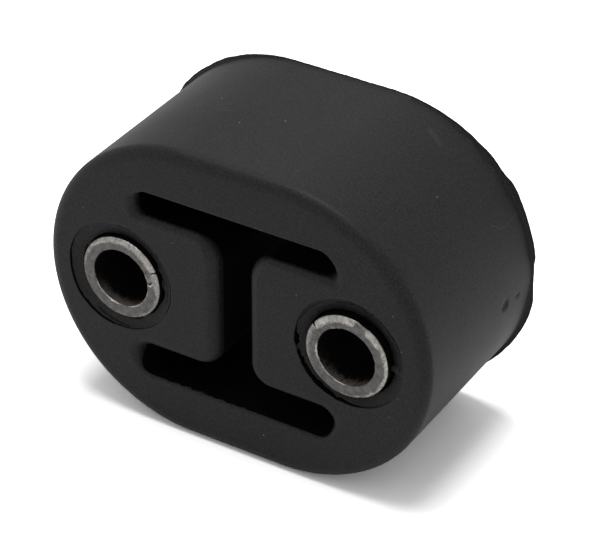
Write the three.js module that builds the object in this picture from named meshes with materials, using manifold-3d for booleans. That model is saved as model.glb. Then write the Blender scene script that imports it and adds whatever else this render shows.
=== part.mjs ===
/**
 * Exhaust hanger: a moulded rubber block with round ends that carries two rolled steel sleeves.
 *
 * Millimetres, +X along the block, +Y to the rear, +Z up. The origin is at the middle of the lower
 * flat side, on which the block stands. The front face looks along -Y.
 */
import * as THREE from "three";
import { mergeVertices } from "three/addons/utils/BufferGeometryUtils.js";
import Module from "manifold-3d";

// Rubber block
const BODY_LENGTH = 70;
const BODY_HEIGHT = 53;
const BODY_DEPTH = 34;
const FRONT_EDGE_RADIUS = 2.2;

// Thin flash lip round the rear edge, trimmed off along the lower flat side
const LIP_REACH = 0.5;
const LIP_THICKNESS = 0.6;

// Slot shaped like a letter I: two level slots joined by an upright one
const LEVEL_SLOT_HALF_LENGTH = 18;
const LEVEL_SLOT_HEIGHT = 5.4;
const LEVEL_SLOT_END_RADIUS = 2.4;
const LEVEL_SLOT_SPACING = 29.4;
const UPRIGHT_SLOT_WIDTH = 5.6;
const BLOCK_CORNER_RADIUS = 4;
const SLOT_RIM_RADIUS = 2.1;

// Rolled steel sleeves for a bolt or a hanger pin
const BOLT_DIAMETER = 10;
const BOLT_CLEARANCE = 0.1;
const SLEEVE_WALL = 2.175;
const SLEEVE_END_DISTANCE = 14.25;
const SLEEVE_PROUD = 0.3;
const SLEEVE_OUTER_BREAK = 0.75;
const SLEEVE_OUTER_BREAK_DEPTH = 0.4;
const SLEEVE_INNER_BREAK = 0.2;
const SEAM_WIDTH = 0.3;
const LEFT_SEAM_ANGLE = 27;
const RIGHT_SEAM_ANGLE = 144;

// Seat of a sleeve in the rubber, with a dished ring round it on both faces
const SEAT_CLEARANCE = 0.3;
const DISH_WIDTH = 2.7;
const DISH_WALL_WIDTH = 0.25;
const DISH_WALL_DEPTH = 0.35;
const DISH_DEPTH = 1.2;

// Fineness of the curves
const END_SEGMENTS = 28;
const CORNER_SEGMENTS = 6;
const FILLET_SEGMENTS = 5;
const ROUND_SEGMENTS = 56;

const CUT_OVERRUN = 1;

const FRONT_Y = -BODY_DEPTH / 2;
const REAR_Y = BODY_DEPTH / 2;
const SLEEVE_PITCH = BODY_LENGTH - 2 * SLEEVE_END_DISTANCE;
const SLEEVE_BORE_RADIUS = BOLT_DIAMETER / 2 + BOLT_CLEARANCE;
const SLEEVE_RADIUS = SLEEVE_BORE_RADIUS + SLEEVE_WALL;
const SLEEVE_LENGTH = BODY_DEPTH + 2 * SLEEVE_PROUD;
const SEAT_RADIUS = SLEEVE_RADIUS + SEAT_CLEARANCE;
const DISH_RADIUS = SLEEVE_RADIUS + DISH_WIDTH;

const wasm = await Module();
wasm.setup();

/** Turns a closed geometry into a solid that can be cut. */
function toSolid(geometry) {
  const bare = geometry.clone();
  bare.deleteAttribute("normal");
  bare.deleteAttribute("uv");
  const merged = mergeVertices(bare, 1e-5);
  return new wasm.Manifold(
    new wasm.Mesh({
      numProp: 3,
      vertProperties: new Float32Array(merged.attributes.position.array),
      triVerts: new Uint32Array(merged.index.array),
    }),
  );
}

/** Turns a cut solid back into a geometry. */
function toGeometry(solid) {
  const mesh = solid.getMesh();
  const geometry = new THREE.BufferGeometry();
  geometry.setAttribute("position", new THREE.BufferAttribute(mesh.vertProperties, 3));
  geometry.setIndex(new THREE.BufferAttribute(mesh.triVerts, 1));
  geometry.computeVertexNormals();
  return geometry;
}

/** Stacks outlines of equal point count, given as { y, outline } from front to rear, into a body. */
function stackGeometry(sections) {
  const count = sections[0].outline.length;
  const positions = sections.flatMap(({ y, outline }) => outline.flatMap((p) => [p.x, y, p.y]));
  const indices = [];
  for (let i = 0; i + 1 < sections.length; i += 1) {
    for (let j = 0; j < count; j += 1) {
      const next = (j + 1) % count;
      const [a, b] = [i * count + j, i * count + next];
      const [c, d] = [b + count, a + count];
      indices.push(a, d, c, a, c, b);
    }
  }
  const lastRing = (sections.length - 1) * count;
  for (const [a, b, c] of THREE.ShapeUtils.triangulateShape(sections[0].outline, [])) {
    indices.push(a, b, c);
  }
  for (const [a, b, c] of THREE.ShapeUtils.triangulateShape(sections.at(-1).outline, [])) {
    indices.push(lastRing + a, lastRing + c, lastRing + b);
  }
  const geometry = new THREE.BufferGeometry();
  geometry.setAttribute("position", new THREE.Float32BufferAttribute(positions, 3));
  geometry.setIndex(indices);
  return geometry;
}

/** Points along an arc about (x, z), both ends included, with angles in quarter turns. */
function arc(x, z, radius, fromQuarter, toQuarter, segments) {
  const curve = new THREE.EllipseCurve(
    x,
    z,
    radius,
    radius,
    (fromQuarter * Math.PI) / 2,
    (toQuarter * Math.PI) / 2,
    toQuarter < fromQuarter,
  );
  return curve.getPoints(segments);
}

/** Outline of the block grown by a distance. The lower flat side stays where it is. */
function blockOutline(grow) {
  const radius = BODY_HEIGHT / 2;
  const centre = BODY_LENGTH / 2 - radius;
  const points = [
    ...arc(centre, 0, radius + grow, -1, 1, END_SEGMENTS),
    ...arc(-centre, 0, radius + grow, 1, 3, END_SEGMENTS),
  ];
  const floor = -radius - Math.min(grow, 0);
  return points.map((p) => new THREE.Vector2(p.x, Math.max(p.y, floor)));
}

/** Outline of the I-shaped slot grown by a distance. */
function slotOutline(grow) {
  const side = UPRIGHT_SLOT_WIDTH / 2;
  const inner = (LEVEL_SLOT_SPACING - LEVEL_SLOT_HEIGHT) / 2;
  const outer = inner + LEVEL_SLOT_HEIGHT;
  const endX = LEVEL_SLOT_HALF_LENGTH - LEVEL_SLOT_END_RADIUS;
  const cornerX = side + BLOCK_CORNER_RADIUS;
  const cornerZ = inner - BLOCK_CORNER_RADIUS;
  const corner = BLOCK_CORNER_RADIUS - grow;
  const end = LEVEL_SLOT_END_RADIUS + grow;
  const quarter = [
    ...arc(cornerX, cornerZ, corner, 2, 1, CORNER_SEGMENTS),
    ...arc(endX, inner + LEVEL_SLOT_END_RADIUS, end, -1, 0, CORNER_SEGMENTS),
    ...arc(endX, outer - LEVEL_SLOT_END_RADIUS, end, 0, 1, CORNER_SEGMENTS),
  ];
  const half = [...quarter, ...quarter.toReversed().map((p) => new THREE.Vector2(-p.x, p.y))];
  return [...half, ...half.map((p) => new THREE.Vector2(-p.x, -p.y))];
}

/** Steps of a quarter-round edge at the front face: how far in, and how much it draws back. */
function edgeSteps(radius) {
  const steps = [];
  for (let i = 0; i <= FILLET_SEGMENTS; i += 1) {
    const angle = ((i / FILLET_SEGMENTS) * Math.PI) / 2;
    steps.push({ y: FRONT_Y + radius * (1 - Math.cos(angle)), draw: radius * (1 - Math.sin(angle)) });
  }
  return steps;
}

/** The block before its slot and seats are cut, with the round front edge and the rear lip. */
function blockGeometry() {
  const front = edgeSteps(FRONT_EDGE_RADIUS).map(({ y, draw }) => ({ y, outline: blockOutline(-draw) }));
  const lipY = REAR_Y - LIP_THICKNESS;
  return stackGeometry([
    ...front,
    { y: lipY, outline: blockOutline(0) },
    { y: lipY, outline: blockOutline(LIP_REACH) },
    { y: REAR_Y, outline: blockOutline(LIP_REACH) },
  ]);
}

/** The room of the I-shaped slot, flared at the front rim. */
function slotGeometry() {
  const flare = edgeSteps(SLOT_RIM_RADIUS).map(({ y, draw }) => ({ y, outline: slotOutline(draw) }));
  return stackGeometry([
    { y: FRONT_Y - CUT_OVERRUN, outline: slotOutline(SLOT_RIM_RADIUS) },
    ...flare,
    { y: REAR_Y + CUT_OVERRUN, outline: slotOutline(0) },
  ]);
}

/** The room of one sleeve, dished at both faces, as a turned shape about Y. */
function seatGeometry() {
  const face = BODY_DEPTH / 2;
  const end = face + CUT_OVERRUN;
  const wallFoot = DISH_RADIUS - DISH_WALL_WIDTH;
  const profile = [
    [0, -end],
    [DISH_RADIUS, -end],
    [DISH_RADIUS, -face],
    [wallFoot, -face + DISH_WALL_DEPTH],
    [SEAT_RADIUS, -face + DISH_DEPTH],
    [SEAT_RADIUS, face - DISH_DEPTH],
    [wallFoot, face - DISH_WALL_DEPTH],
    [DISH_RADIUS, face],
    [DISH_RADIUS, end],
    [0, end],
  ];
  return new THREE.LatheGeometry(profile.map(([r, y]) => new THREE.Vector2(r, y)), ROUND_SEGMENTS);
}

/** A rolled sleeve about Y with broken edges, its open seam on the +X side. */
function sleeveGeometry() {
  const half = SLEEVE_LENGTH / 2;
  const outerEdge = SLEEVE_RADIUS - SLEEVE_OUTER_BREAK;
  const innerEdge = SLEEVE_BORE_RADIUS + SLEEVE_INNER_BREAK;
  const profile = [
    [SLEEVE_BORE_RADIUS, -half + SLEEVE_INNER_BREAK],
    [innerEdge, -half],
    [outerEdge, -half],
    [SLEEVE_RADIUS, -half + SLEEVE_OUTER_BREAK_DEPTH],
    [SLEEVE_RADIUS, half - SLEEVE_OUTER_BREAK_DEPTH],
    [outerEdge, half],
    [innerEdge, half],
    [SLEEVE_BORE_RADIUS, half - SLEEVE_INNER_BREAK],
    [SLEEVE_BORE_RADIUS, -half + SLEEVE_INNER_BREAK],
  ];
  const tube = new THREE.LatheGeometry(
    profile.map(([r, y]) => new THREE.Vector2(r, y)),
    ROUND_SEGMENTS,
  );
  const seam = new THREE.BoxGeometry(
    SLEEVE_WALL + 2 * CUT_OVERRUN,
    SLEEVE_LENGTH + 2 * CUT_OVERRUN,
    SEAM_WIDTH,
  );
  seam.translate(SLEEVE_BORE_RADIUS + SLEEVE_WALL / 2, 0, 0);
  return toGeometry(toSolid(tube).subtract(toSolid(seam)));
}

/** The rubber block about its middle, with the slot and both sleeve seats cut through it. */
function bodyGeometry() {
  let solid = toSolid(blockGeometry()).subtract(toSolid(slotGeometry()));
  for (const side of [-1, 1]) {
    const seat = seatGeometry().translate((side * SLEEVE_PITCH) / 2, 0, 0);
    solid = solid.subtract(toSolid(seat));
  }
  return toGeometry(solid);
}

/** Makes a named mesh with a material of its own. */
function makeMesh(name, geometry, color, roughness, metalness) {
  const mesh = new THREE.Mesh(geometry, new THREE.MeshStandardMaterial({ color, roughness, metalness }));
  mesh.name = name;
  return mesh;
}

/** Makes one sleeve at its seat, turned so that its seam lies at an angle seen from the front. */
function makeSleeve(name, side, seamAngle) {
  const sleeve = makeMesh(name, sleeveGeometry(), 0x8c8a87, 0.5, 0.9);
  sleeve.position.x = (side * SLEEVE_PITCH) / 2;
  sleeve.rotation.y = -THREE.MathUtils.degToRad(seamAngle);
  return sleeve;
}

const standing = new THREE.Group();
standing.position.z = BODY_HEIGHT / 2;
standing.add(makeMesh("rubber_body", bodyGeometry(), 0x2e2e30, 0.55, 0));
standing.add(makeSleeve("left_sleeve", -1, LEFT_SEAM_ANGLE));
standing.add(makeSleeve("right_sleeve", 1, RIGHT_SEAM_ANGLE));

const hanger = new THREE.Group();
hanger.add(standing);

export default hanger;
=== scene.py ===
"""Looks of the exhaust hanger: a moulded rubber block that carries two rolled steel sleeves.

Sizes are in millimetres in the block's own plane: x along the block, z up from its middle height, and
depth measured back from the front face. They turn into metres in the shared frame when a mesh is made.
"""
import logging
import math
from dataclasses import dataclass, replace
from enum import Enum, IntEnum

import bmesh
import bpy
import numpy as np
from mathutils import Matrix, Vector
from mathutils.geometry import delaunay_2d_cdt


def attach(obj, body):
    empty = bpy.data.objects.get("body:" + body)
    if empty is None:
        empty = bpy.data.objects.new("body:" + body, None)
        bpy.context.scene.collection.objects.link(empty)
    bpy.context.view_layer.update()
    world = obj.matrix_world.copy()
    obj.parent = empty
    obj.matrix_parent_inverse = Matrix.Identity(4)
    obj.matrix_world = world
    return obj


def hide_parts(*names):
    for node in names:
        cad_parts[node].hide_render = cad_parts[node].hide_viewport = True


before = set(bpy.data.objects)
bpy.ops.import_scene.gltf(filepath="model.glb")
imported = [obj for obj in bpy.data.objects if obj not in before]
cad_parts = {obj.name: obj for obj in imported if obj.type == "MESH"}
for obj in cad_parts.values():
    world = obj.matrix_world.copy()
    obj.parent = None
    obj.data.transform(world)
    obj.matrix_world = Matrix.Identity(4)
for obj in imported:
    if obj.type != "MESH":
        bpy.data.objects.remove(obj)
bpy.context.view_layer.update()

LOG = logging.getLogger("exhaust_hanger")

MM = 0.001
FULL_TURN = 360.0
ROOT_BODY = "root"

# Name of the attribute that holds, from 0 to 1, how far a point is worn, and on a sleeve's bore and inner
# edge how much painted light it gets
WEAR_AND_PAINTED_LIGHT = "wear"

# Places of the colour sockets of a Mix node
MIX_A, MIX_B, MIX_RESULT = 6, 7, 2
WHITE = (1.0, 1.0, 1.0, 1.0)

# Smallest difference in mm that counts
ROUNDING = 1e-6

# Rows of a grid: two numbers for each point of a row, such as its depth and its distance out
Rows = list[tuple[np.ndarray, np.ndarray]]


# Numbers and curves


def linear_colour(hex_code: str) -> tuple[float, float, float, float]:
    """Turns an sRGB hex colour into a linear one with full opacity, by the curve of the sRGB standard.

    Args:
        hex_code: Six hexadecimal digits after a hash sign.

    Returns:
        Linear red, green, blue and alpha.
    """
    channels = [int(hex_code[i : i + 2], 16) / 255 for i in (1, 3, 5)]
    linear = [c / 12.92 if c <= 0.04045 else ((c + 0.055) / 1.055) ** 2.4 for c in channels]
    return (linear[0], linear[1], linear[2], 1.0)


def smooth_step(low: float, high: float, value: np.ndarray) -> np.ndarray:
    """Eases from 0 at one value to 1 at another.

    Args:
        low: Value at which the result is 0.
        high: Value at which the result is 1.
        value: Values to ease.

    Returns:
        Eased values between 0 and 1.
    """
    t = np.clip((value - low) / (high - low), 0.0, 1.0)
    return t * t * (3 - 2 * t)


def direction(degrees: np.ndarray) -> tuple[np.ndarray, np.ndarray]:
    """Gives the cosine and the sine of angles in degrees."""
    return np.cos(np.radians(degrees)), np.sin(np.radians(degrees))


def row_points(x: np.ndarray, z: np.ndarray, row: int) -> np.ndarray:
    """Gives the points of one row of a grid."""
    return np.stack([x[row], z[row]], 1)


class RandomWaves:
    """Smooth seeded unevenness: a sum of plane waves of mixed wavelengths and directions."""

    def __init__(self, seed: int, shortest: float, longest: float, count: int = 24) -> None:
        """Draws the waves.

        Args:
            seed: Seed of the draw.
            shortest: Shortest wavelength in mm.
            longest: Longest wavelength in mm.
            count: Number of waves.
        """
        rng = np.random.default_rng(seed)
        length = np.exp(rng.uniform(math.log(shortest), math.log(longest), count))
        angle = rng.uniform(0, 2 * math.pi, count)
        self.kx = 2 * math.pi / length * np.cos(angle)
        self.kz = 2 * math.pi / length * np.sin(angle)
        self.phase = rng.uniform(0, 2 * math.pi, count)
        weight = length**0.5
        self.weight = weight / math.sqrt(float(np.sum(weight**2)) / 2)

    def at(self, x: np.ndarray, z: np.ndarray) -> np.ndarray:
        """Gives the unevenness at points, with a spread of about one.

        Args:
            x: First coordinate in mm.
            z: Second coordinate in mm, of the same shape.

        Returns:
            Values around zero, of the same shape.
        """
        total = np.zeros(np.broadcast(x, z).shape)
        for kx, kz, phase, weight in zip(self.kx, self.kz, self.phase, self.weight):
            total += weight * np.cos(kx * x + kz * z + phase)
        return total


@dataclass(frozen=True)
class StopTable:
    """A value given at some stops and joined by straight lines: angles in degrees, or radii in mm."""

    stops: tuple[tuple[float, float], ...]
    period: float | None = FULL_TURN

    def at(self, place: np.ndarray) -> np.ndarray:
        """Gives the value at places along the stops."""
        places, values = zip(*self.stops)
        return np.interp(place, places, values, period=self.period)


@dataclass
class Outline:
    """A closed outline in the x-z plane with its outward normals."""

    points: np.ndarray
    normals: np.ndarray

    @staticmethod
    def from_pieces(pieces: list[tuple[float, float, float, float, float]], step: float) -> "Outline":
        """Builds an outline from arcs joined by straight lines.

        Args:
            pieces: Arcs as centre x, centre z, radius, start and end angle in degrees. A turn the
                other way, from a higher to a lower angle, bulges into the outline.
            step: Longest distance between two points in mm.

        Returns:
            The outline.
        """
        points: list[tuple[float, float]] = []
        normals: list[tuple[float, float]] = []
        fewest = 3
        for cx, cz, radius, start, end in pieces:
            count = max(fewest, math.ceil(abs(math.radians(end - start)) * radius / step))
            sign = 1.0 if end > start else -1.0
            for angle in np.radians(np.linspace(start, end, count + 1)):
                points.append((cx + radius * math.cos(angle), cz + radius * math.sin(angle)))
                normals.append((sign * math.cos(angle), sign * math.sin(angle)))
        return Outline(np.array(points), np.array(normals)).filled(step)

    def filled(self, step: float) -> "Outline":
        """Adds points on the straight lines so that no gap is longer than the step.

        Args:
            step: Longest gap in mm.

        Returns:
            The same outline with more points.
        """
        points, normals = [], []
        count = len(self.points)
        for i in range(count):
            here, there = self.points[i], self.points[(i + 1) % count]
            parts = max(1, math.ceil(float(np.linalg.norm(there - here)) / step - ROUNDING))
            for k in range(parts):
                points.append(here + (there - here) * k / parts)
                normals.append(self.normals[i])
        return Outline(np.array(points), np.array(normals))

    def grown(self, distance: float | np.ndarray) -> np.ndarray:
        """Gives the points moved along their normals by one distance or one for each point."""
        return self.points + self.normals * np.reshape(distance, (-1, 1))

    def swept(self, rows: Rows) -> tuple[np.ndarray, np.ndarray, np.ndarray]:
        """Gives a grid along the outline.

        Args:
            rows: Depth and distance out from the outline for each row.

        Returns:
            Grids of x, depth and z.
        """
        grown = np.array([self.grown(distance) for _, distance in rows])
        return grown[:, :, 0], np.array([depth for depth, _ in rows]), grown[:, :, 1]


# Meshes


class Skin(IntEnum):
    """Finish of a face, as its place among a piece's materials."""

    MAIN = 0
    # On the block, the rubber painted as shade for slot walls, seat gaps and wide cracks; on a sleeve, the
    # bore
    INNER = 1
    WALL = 2
    # The block has no steel wall, so its third finish is that of the dished rings
    DISH = 2


class MeshMaker:
    """Collects patches in mm and turns them into one closed mesh object in metres."""

    # Points nearer than this are one, in metres
    weld: float = 2e-6
    # Shortest edge that is kept, in metres, and closeness at which the fill of a plate joins points
    least_edge: float = 1e-7

    def __init__(self, front_y: float, middle_z: float) -> None:
        """Starts an empty mesh.

        Args:
            front_y: Place of the front face along Y in mm.
            middle_z: Height of the block's middle in mm.
        """
        self.front_y = front_y
        self.middle_z = middle_z
        self.points: list[np.ndarray] = []
        self.wear: list[np.ndarray] = []
        self.faces: list[list[int]] = []
        self.skins: list[int] = []
        self.count = 0

    def add_points(
        self, x: np.ndarray, depth: np.ndarray, z: np.ndarray, wear: np.ndarray | float = 0.0
    ) -> np.ndarray:
        """Adds points.

        Args:
            x: Places along X in mm, in any shape.
            depth: Depths behind the front face in mm.
            z: Heights from the block's middle in mm.
            wear: Wear from 0 to 1, for all points or for each; on a sleeve it also holds painted light.

        Returns:
            The numbers of the points, in the same shape as x.
        """
        flat = np.stack([np.ravel(x), np.ravel(depth) + self.front_y, np.ravel(z) + self.middle_z], 1)
        numbers = np.arange(self.count, self.count + len(flat)).reshape(np.shape(x))
        self.points.append(flat)
        self.wear.append(np.broadcast_to(wear, np.shape(x)).ravel())
        self.count += len(flat)
        return numbers

    def grid(
        self,
        x: np.ndarray,
        depth: np.ndarray,
        z: np.ndarray,
        wrap: bool = True,
        skin: np.ndarray | Skin = Skin.MAIN,
        wear: np.ndarray | float = 0.0,
    ) -> None:
        """Adds a grid of four-sided faces.

        Args:
            x: Grid of x, rows by columns.
            depth: Grid of depths behind the front face.
            z: Grid of heights.
            wrap: Whether the last column joins the first.
            skin: One finish, a column of one for each gap between two rows, or one for each face.
            wear: Wear of the points, which on a sleeve also holds painted light.
        """
        numbers = self.add_points(x, depth, z, wear)
        if wrap:
            numbers = np.concatenate([numbers, numbers[:, :1]], axis=1)
        here, there = numbers[:-1], numbers[1:]
        quads = np.stack([here[:, :-1], here[:, 1:], there[:, 1:], there[:, :-1]], 2)
        self.faces += quads.reshape(-1, 4).tolist()
        self.skins += np.broadcast_to(np.asarray(skin, dtype=int), quads.shape[:2]).ravel().tolist()

    def plate(self, outer: np.ndarray, holes: list[np.ndarray], depth: float) -> None:
        """Fills a flat region with holes.

        Args:
            outer: Points of the outer edge.
            holes: Points of the edge of each hole.
            depth: Depth behind the front face.
        """
        loops = [outer, *holes]
        points = np.concatenate(loops)
        edges: list[tuple[int, int]] = []
        start = 0
        for loop in loops:
            count = len(loop)
            edges += [(start + i, start + (i + 1) % count) for i in range(count)]
            start += count
        made = delaunay_2d_cdt([Vector(p) for p in points], edges, [], 0, self.least_edge)
        corners = np.array([tuple(v) for v in made[0]])
        triangles = np.array(made[2])
        middles = corners[triangles].mean(axis=1)
        keep = inside(outer, middles)
        for hole in holes:
            keep &= ~inside(hole, middles)
        numbers = self.add_points(corners[:, 0], np.full(len(corners), depth), corners[:, 1])
        self.faces += numbers[triangles[keep]].tolist()
        self.skins += [int(Skin.MAIN)] * int(keep.sum())

    def cap(self, x: np.ndarray, depth: np.ndarray, z: np.ndarray, skin: Skin) -> None:
        """Closes a loop of points with one face."""
        self.faces.append(self.add_points(x, depth, z).tolist())
        self.skins.append(int(skin))

    def finish(self, name: str, materials: list[bpy.types.Material], sharp: float) -> bpy.types.Object:
        """Welds the patches and makes the object.

        Args:
            name: Name of the piece.
            materials: Its materials, in the order of Skin.
            sharp: Angle in degrees above which an edge stays sharp.

        Returns:
            The object, linked to the scene.
        """
        mesh = bpy.data.meshes.new(name)
        points = np.concatenate(self.points) * MM
        mesh.from_pydata(points.tolist(), [], self.faces)
        mesh.polygons.foreach_set("material_index", self.skins)
        # The wear attribute also carries the painted light of the sleeves' bores and inner edges
        layer = mesh.attributes.new(WEAR_AND_PAINTED_LIGHT, "FLOAT", "POINT")
        layer.data.foreach_set("value", np.concatenate(self.wear))
        work = bmesh.new()
        work.from_mesh(mesh)
        bmesh.ops.remove_doubles(work, verts=work.verts, dist=self.weld)
        bmesh.ops.dissolve_degenerate(work, edges=work.edges, dist=self.least_edge)
        bmesh.ops.recalc_face_normals(work, faces=work.faces)
        bmesh.ops.triangulate(work, faces=[f for f in work.faces if len(f.verts) > 4])
        open_edges = sum(1 for edge in work.edges if not edge.is_manifold)
        triangles = sum(len(face.verts) - 2 for face in work.faces)
        work.to_mesh(mesh)
        work.free()
        mesh.shade_smooth()
        mesh.set_sharp_from_angle(angle=math.radians(sharp))
        for material in materials:
            mesh.materials.append(material)
        made = bpy.data.objects.new(name, mesh)
        bpy.context.scene.collection.objects.link(made)
        LOG.info("%s: %d triangles, %d open edges", name, triangles, open_edges)
        return made


def inside(polygon: np.ndarray, points: np.ndarray) -> np.ndarray:
    """Tells which points lie inside a polygon.

    Args:
        polygon: Corners of the polygon.
        points: Points to test.

    Returns:
        True for each point inside.
    """
    result = np.zeros(len(points), dtype=bool)
    px, pz = points[:, 0], points[:, 1]
    for (ax, az), (bx, bz) in zip(polygon, np.roll(polygon, -1, axis=0)):
        if az == bz:
            continue
        crosses = (az > pz) != (bz > pz)
        result ^= crosses & (px < (bx - ax) * (pz - az) / (bz - az) + ax)
    return result


# Finishes


def add_node(
    tree: bpy.types.NodeTree, kind: str, inputs: dict | None = None, **settings: object
) -> bpy.types.Node:
    """Adds a node with its settings, values and links.

    Args:
        tree: Node tree of a material or a world.
        kind: Type name of the node.
        inputs: Value or output socket for each input, by name or number.
        **settings: Properties of the node.

    Returns:
        The node.
    """
    node = tree.nodes.new(kind)
    for name, value in settings.items():
        setattr(node, name, value)
    for key, value in (inputs or {}).items():
        if isinstance(value, bpy.types.NodeSocket):
            tree.links.new(value, node.inputs[key])
        else:
            node.inputs[key].default_value = value
    return node


def new_material(name: str) -> tuple[bpy.types.Material, bpy.types.NodeTree, bpy.types.Node]:
    """Makes a material whose only nodes are a Principled shader and the output.

    Args:
        name: Name of the material.

    Returns:
        The material, its node tree and its shader.
    """
    material = bpy.data.materials.new(name)
    material.use_nodes = True
    tree = material.node_tree
    tree.nodes.clear()
    shader = add_node(tree, "ShaderNodeBsdfPrincipled")
    add_node(tree, "ShaderNodeOutputMaterial", {"Surface": shader.outputs["BSDF"]})
    return material, tree, shader


@dataclass(frozen=True)
class Streak:
    """A fine mark between two points of the frame, in mm: a hairline, or a speck where both are one."""

    start: tuple[float, float, float]
    end: tuple[float, float, float]
    width: float
    colour: str
    strength: float

    def on(
        self, tree: bpy.types.NodeTree, place: bpy.types.NodeSocket, tone: bpy.types.NodeSocket
    ) -> bpy.types.NodeSocket:
        """Draws the mark over a colour.

        Args:
            tree: Node tree of the material.
            place: Position on the object.
            tone: Colour so far.

        Returns:
            The new colour.
        """
        start = Vector(self.start) * MM
        reach = Vector(self.end) * MM - start
        shift = {0: place, 1: start}
        offset = add_node(tree, "ShaderNodeVectorMath", shift, operation="SUBTRACT").outputs[0]
        along = {0: offset, 1: reach.normalized()}
        run = add_node(tree, "ShaderNodeVectorMath", along, operation="DOT_PRODUCT").outputs["Value"]
        held = add_node(tree, "ShaderNodeClamp", {"Value": run, "Min": 0.0, "Max": reach.length})
        foot = {0: reach.normalized(), "Scale": held.outputs[0]}
        nearest = add_node(tree, "ShaderNodeVectorMath", foot, operation="SCALE").outputs[0]
        both = {0: offset, 1: nearest}
        gap = add_node(tree, "ShaderNodeVectorMath", both, operation="DISTANCE").outputs["Value"]
        ends = {"From Min": 0.0, "From Max": self.width * MM, "To Min": self.strength, "To Max": 0.0}
        fade = {"Value": gap, **ends}
        share = add_node(tree, "ShaderNodeMapRange", fade, interpolation_type="SMOOTHSTEP").outputs["Result"]
        mixed = {0: share, MIX_A: tone, MIX_B: linear_colour(self.colour)}
        return add_node(tree, "ShaderNodeMix", mixed, data_type="RGBA").outputs[MIX_RESULT]


class Spread(Enum):
    """Raw noise at which a pattern is 0 and 1: the nearer the two, the crisper it looks."""

    CRISP = (0.34, 0.66)
    CLOUDY = (0.35, 0.65)
    FAINT = (0.3, 0.7)
    BROAD = (0.35, 0.7)
    SPARSE = (0.56, 0.7)
    WHOLE = (0.0, 1.0)


@dataclass(frozen=True)
class Mottle:
    """Unevenness of one size, as grain, clouds, specks or slow waves."""

    size_mm: float
    spread: Spread
    detail: float = 3.0

    def on(self, tree: bpy.types.NodeTree, place: bpy.types.NodeSocket) -> bpy.types.NodeSocket:
        """Draws the unevenness.

        Args:
            tree: Node tree of the material.
            place: Position on the object.

        Returns:
            A value from 0 to 1.
        """
        scale = 1 / (self.size_mm * MM)
        raw = add_node(tree, "ShaderNodeTexNoise", {"Vector": place, "Scale": scale, "Detail": self.detail})
        low, high = self.spread.value
        ends = {"Value": raw.outputs["Fac"], "From Min": low, "From Max": high}
        return add_node(tree, "ShaderNodeMapRange", ends).outputs["Result"]


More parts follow.
